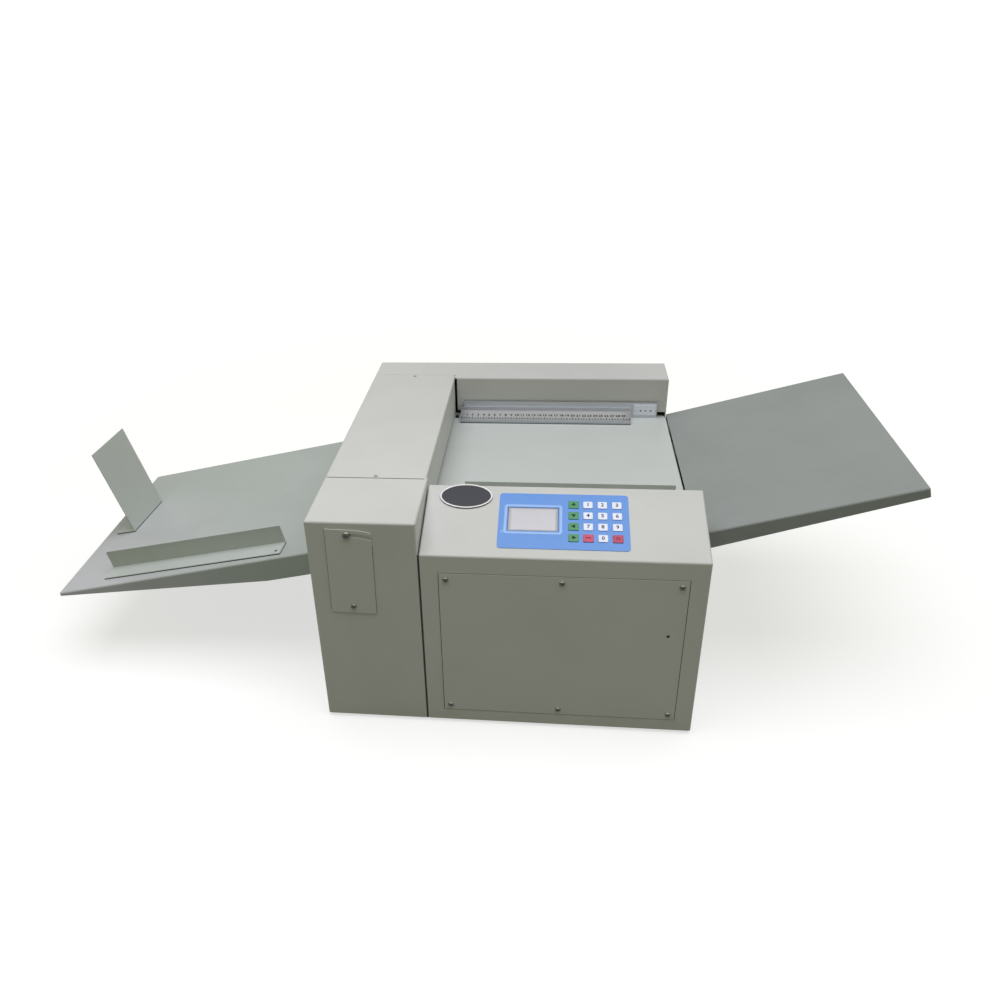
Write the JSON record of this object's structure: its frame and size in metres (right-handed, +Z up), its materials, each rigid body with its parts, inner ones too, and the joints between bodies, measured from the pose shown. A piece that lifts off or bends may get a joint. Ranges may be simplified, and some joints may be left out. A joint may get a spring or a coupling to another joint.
{
  "type": "brochure folding machine",
  "caption": "Desk-top machine that presses fold lines into brochure sheets: sloped feed table, paper deck with guides, creasing bridge, keypad box and hanging delivery tray.",
  "frame": {"origin": "middle of the whole object's plan, with tray and table hung, on the floor under the feet", "axes": "+X to the feed table, -X to the delivery tray, -Y to the operator, +Z up"},
  "size_m": [1.2882, 0.6082, 0.3505],
  "materials": {
    "casing_paint": "fine textured light grey enamel",
    "deck_paint": "smooth light grey enamel, worn by paper",
    "table_paint": "mid grey enamel",
    "tray_paint": "grey enamel",
    "bracket_paint": "grey enamel",
    "chassis_paint": "grey enamel",
    "plate_alloy": "milled",
    "guide_alloy": "clear anodised",
    "bright_steel": "ground and plated",
    "bearing_brass": "plain",
    "black_rubber": "matt",
    "roller_rubber": "ground",
    "motor_black": "black paint",
    "black_plastic": "moulded",
    "board_green": "lacquered",
    "overlay_blue": "printed film",
    "key_white": "moulded",
    "key_green": "moulded",
    "key_red": "moulded"
  },
  "bodies": {
    "frame": {"base_chassis": "chassis_paint", "rubber_feet": "black_rubber", "front_side_plate": "plate_alloy", "rear_side_plate": "plate_alloy", "tie_bars": "bright_steel", "tower_casing": "casing_paint", "control_casing": "casing_paint", "access_panel": "casing_paint", "casing_screws": "bright_steel", "bridge_cover": "casing_paint", "rear_casing": "casing_paint", "deck_plate": "deck_paint", "die_bar": "bright_steel", "shaft_bearings": "bearing_brass", "keypad_overlay": "overlay_blue", "display_board": "board_green", "main_board": "board_green", "power_supply": "plate_alloy", "power_inlet": "black_plastic", "feed_motor": "motor_black", "press_motor": "plate_alloy", "drive_belt": "black_rubber", "return_springs": "bright_steel"},
    "inspection_door": {"inspection_cover": "casing_paint"},
    "rear_guide": {"rear_fence": "guide_alloy", "ruler_bar": "guide_alloy"},
    "side_guide": {"front_guide": "bracket_paint"},
    "table": {"feed_table": "table_paint"},
    "tray": {"delivery_tray": "tray_paint"},
    "stop": {"tray_stop": "bracket_paint", "stop_magnet": "black_rubber"},
    "fence": {"tray_fence": "bracket_paint", "fence_magnet": "black_rubber"},
    "infeed": {"infeed_roller": "bright_steel", "infeed_sleeves": "roller_rubber"},
    "outfeed": {"outfeed_roller": "bright_steel", "outfeed_sleeves": "roller_rubber"},
    "infeed_pinch": {"infeed_pinch_roller": "bright_steel"},
    "outfeed_pinch": {"outfeed_pinch_roller": "bright_steel"},
    "motor_drive": {"motor_pulley": "bright_steel"},
    "cam": {"cam_shaft": "bright_steel"},
    "knife": {"knife_beam": "plate_alloy", "creasing_blade": "bright_steel"},
    "rocker": {"power_rocker": "key_red"},
    "key_up_button": {"key_up": "key_green"},
    "key_down_button": {"key_down": "key_green"},
    "key_left_arrow_button": {"key_left_arrow": "key_green"},
    "key_right_arrow_button": {"key_right_arrow": "key_green"},
    "key_1_button": {"key_1": "key_white"},
    "key_2_button": {"key_2": "key_white"},
    "key_3_button": {"key_3": "key_white"},
    "key_4_button": {"key_4": "key_white"},
    "key_5_button": {"key_5": "key_white"},
    "key_6_button": {"key_6": "key_white"},
    "key_7_button": {"key_7": "key_white"},
    "key_8_button": {"key_8": "key_white"},
    "key_9_button": {"key_9": "key_white"},
    "key_0_button": {"key_0": "key_white"},
    "key_run_button": {"key_run": "key_red"},
    "key_stop_button": {"key_stop": "key_red"}
  },
  "joints": [
    {"name": "inspection_swing", "type": "hinge", "parent": "frame", "child": "inspection_door", "pos_m": [-0.12574, -0.3008, 0.208], "axis": [0, -1, 0], "range_deg": [0, 100]},
    {"name": "rear_guide_slide", "type": "slide", "parent": "frame", "child": "rear_guide", "axis": [0, -1, 0], "range_m": [0, 0.025]},
    {"name": "side_guide_slide", "type": "slide", "parent": "frame", "child": "side_guide", "axis": [0, 1, 0], "range_m": [-0.03, 0.2]},
    {"name": "table_lift", "type": "slide", "parent": "frame", "child": "table", "axis": [0, 0, 1], "range_m": [0, 0.06]},
    {"name": "tray_lift", "type": "slide", "parent": "frame", "child": "tray", "axis": [0, 0, 1], "range_m": [0, 0.06]},
    {"name": "stop_slide", "type": "slide", "parent": "tray", "child": "stop", "axis": [0.977, 0, 0.213], "range_m": [-0.01, 0.3]},
    {"name": "fence_slide", "type": "slide", "parent": "tray", "child": "fence", "axis": [0, 1, 0], "range_m": [0, 0.11]},
    {"name": "infeed_turn", "type": "hinge", "parent": "frame", "child": "infeed", "pos_m": [-0.06474, 0.0299, 0.2585], "axis": [0, 1, 0], "continuous": true},
    {"name": "outfeed_turn", "type": "hinge", "parent": "frame", "child": "outfeed", "pos_m": [-0.15274, 0.0299, 0.2585], "axis": [0, 1, 0], "continuous": true},
    {"name": "infeed_pinch_turn", "type": "hinge", "parent": "frame", "child": "infeed_pinch", "pos_m": [-0.06474, 0.0299, 0.2828], "axis": [0, 1, 0], "continuous": true},
    {"name": "outfeed_pinch_turn", "type": "hinge", "parent": "frame", "child": "outfeed_pinch", "pos_m": [-0.15274, 0.0299, 0.2828], "axis": [0, 1, 0], "continuous": true},
    {"name": "motor_turn", "type": "hinge", "parent": "frame", "child": "motor_drive", "pos_m": [-0.10873, -0.17985, 0.2005], "axis": [0, 1, 0], "continuous": true},
    {"name": "cam_turn", "type": "hinge", "parent": "frame", "child": "cam", "pos_m": [-0.10873, 0.0299, 0.32], "axis": [0, 1, 0], "range_deg": [0, 240]},
    {"name": "knife_press", "type": "slide", "parent": "frame", "child": "knife", "axis": [0, 0, -1], "range_m": [0, 0.008], "stiffness_N_per_m": 600, "springref_m": -0.008, "deforming": ["return_springs"]},
    {"name": "rocker_tilt", "type": "hinge", "parent": "frame", "child": "rocker", "pos_m": [0.26926, 0.29715, 0.091], "axis": [-1, 0, 0], "range_deg": [0, 16]},
    {"name": "key_up_press", "type": "slide", "parent": "frame", "child": "key_up_button", "axis": [0, 0.3094, -0.9509], "range_m": [0, 0.0008], "stiffness_N_per_m": 1500},
    {"name": "key_down_press", "type": "slide", "parent": "frame", "child": "key_down_button", "axis": [0, 0.3094, -0.9509], "range_m": [0, 0.0008], "stiffness_N_per_m": 1500},
    {"name": "key_left_arrow_press", "type": "slide", "parent": "frame", "child": "key_left_arrow_button", "axis": [0, 0.3094, -0.9509], "range_m": [0, 0.0008], "stiffness_N_per_m": 1500},
    {"name": "key_right_arrow_press", "type": "slide", "parent": "frame", "child": "key_right_arrow_button", "axis": [0, 0.3094, -0.9509], "range_m": [0, 0.0008], "stiffness_N_per_m": 1500},
    {"name": "key_1_press", "type": "slide", "parent": "frame", "child": "key_1_button", "axis": [0, 0.3094, -0.9509], "range_m": [0, 0.0008], "stiffness_N_per_m": 1500},
    {"name": "key_2_press", "type": "slide", "parent": "frame", "child": "key_2_button", "axis": [0, 0.3094, -0.9509], "range_m": [0, 0.0008], "stiffness_N_per_m": 1500},
    {"name": "key_3_press", "type": "slide", "parent": "frame", "child": "key_3_button", "axis": [0, 0.3094, -0.9509], "range_m": [0, 0.0008], "stiffness_N_per_m": 1500},
    {"name": "key_4_press", "type": "slide", "parent": "frame", "child": "key_4_button", "axis": [0, 0.3094, -0.9509], "range_m": [0, 0.0008], "stiffness_N_per_m": 1500},
    {"name": "key_5_press", "type": "slide", "parent": "frame", "child": "key_5_button", "axis": [0, 0.3094, -0.9509], "range_m": [0, 0.0008], "stiffness_N_per_m": 1500},
    {"name": "key_6_press", "type": "slide", "parent": "frame", "child": "key_6_button", "axis": [0, 0.3094, -0.9509], "range_m": [0, 0.0008], "stiffness_N_per_m": 1500},
    {"name": "key_7_press", "type": "slide", "parent": "frame", "child": "key_7_button", "axis": [0, 0.3094, -0.9509], "range_m": [0, 0.0008], "stiffness_N_per_m": 1500},
    {"name": "key_8_press", "type": "slide", "parent": "frame", "child": "key_8_button", "axis": [0, 0.3094, -0.9509], "range_m": [0, 0.0008], "stiffness_N_per_m": 1500},
    {"name": "key_9_press", "type": "slide", "parent": "frame", "child": "key_9_button", "axis": [0, 0.3094, -0.9509], "range_m": [0, 0.0008], "stiffness_N_per_m": 1500},
    {"name": "key_0_press", "type": "slide", "parent": "frame", "child": "key_0_button", "axis": [0, 0.3094, -0.9509], "range_m": [0, 0.0008], "stiffness_N_per_m": 1500},
    {"name": "key_run_press", "type": "slide", "parent": "frame", "child": "key_run_button", "axis": [0, 0.3094, -0.9509], "range_m": [0, 0.0008], "stiffness_N_per_m": 1500},
    {"name": "key_stop_press", "type": "slide", "parent": "frame", "child": "key_stop_button", "axis": [0, 0.3094, -0.9509], "range_m": [0, 0.0008], "stiffness_N_per_m": 1500}
  ],
  "couplings": [
    {"joint": "outfeed_turn", "follows": "infeed_turn", "ratio": 1},
    {"joint": "motor_turn", "follows": "infeed_turn", "ratio": 1},
    {"joint": "infeed_pinch_turn", "follows": "infeed_turn", "ratio": -1},
    {"joint": "outfeed_pinch_turn", "follows": "infeed_turn", "ratio": -1},
    {"joint": "cam_turn", "follows": "knife_press", "rad_per_m": 523.6}
  ]
}
